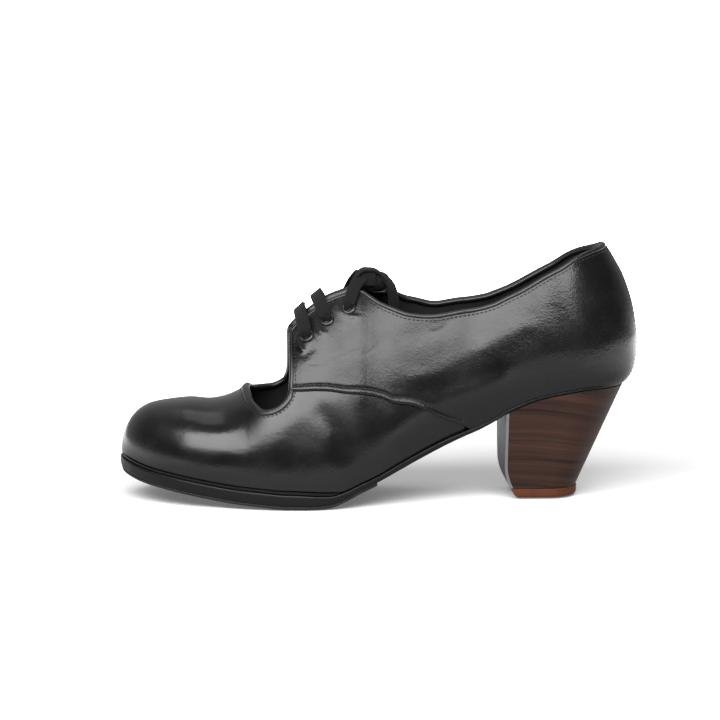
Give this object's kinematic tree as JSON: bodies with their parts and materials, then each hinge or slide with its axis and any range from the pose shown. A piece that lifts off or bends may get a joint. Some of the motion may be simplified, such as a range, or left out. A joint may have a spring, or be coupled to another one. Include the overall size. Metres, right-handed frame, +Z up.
{
  "type": "flamenco shoe",
  "caption": "Closed black leather dance shoe for the left foot, laced over the instep above a cut-out, with a nailed sole and a slanted wooden block heel.",
  "frame": {"origin": "middle of the bounding box on the floor that the shoe stands on", "axes": "+X runs from the heel to the toe, +Y to the outer side of the foot, +Z up from the floor"},
  "size_m": [0.2447, 0.0855, 0.1191],
  "materials": {
    "upper_leather": "smooth, waxed to a soft shine",
    "sole_leather": "black stained, smooth edge",
    "sole_rubber": "fine matt",
    "insole_leather": "matt",
    "heel_wood": "dark brown stack, satin",
    "heel_cover": "glossy black",
    "lift_leather": "orange brown, waxed edge, steel nail heads",
    "eyelet_metal": "glossy black",
    "lace_fabric": "matt flat weave"
  },
  "bodies": {
    "root": {"upper": "upper_leather", "insole": "insole_leather", "welt": "sole_leather", "outsole": "sole_leather", "half_sole": "sole_rubber", "heel_block": "heel_wood", "heel_breast_cover": "heel_cover", "top_lift": "lift_leather", "eyelet_lateral_1": "eyelet_metal", "eyelet_lateral_2": "eyelet_metal", "eyelet_lateral_3": "eyelet_metal", "eyelet_medial_1": "eyelet_metal", "eyelet_medial_2": "eyelet_metal", "eyelet_medial_3": "eyelet_metal", "lace_bar_1": "lace_fabric", "lace_bar_2": "lace_fabric", "lace_bar_3_lateral": "lace_fabric", "lace_bar_3_medial": "lace_fabric", "lace_knot": "lace_fabric", "lace_end_lateral": "lace_fabric", "lace_end_medial": "lace_fabric"}
  },
  "joints": []
}
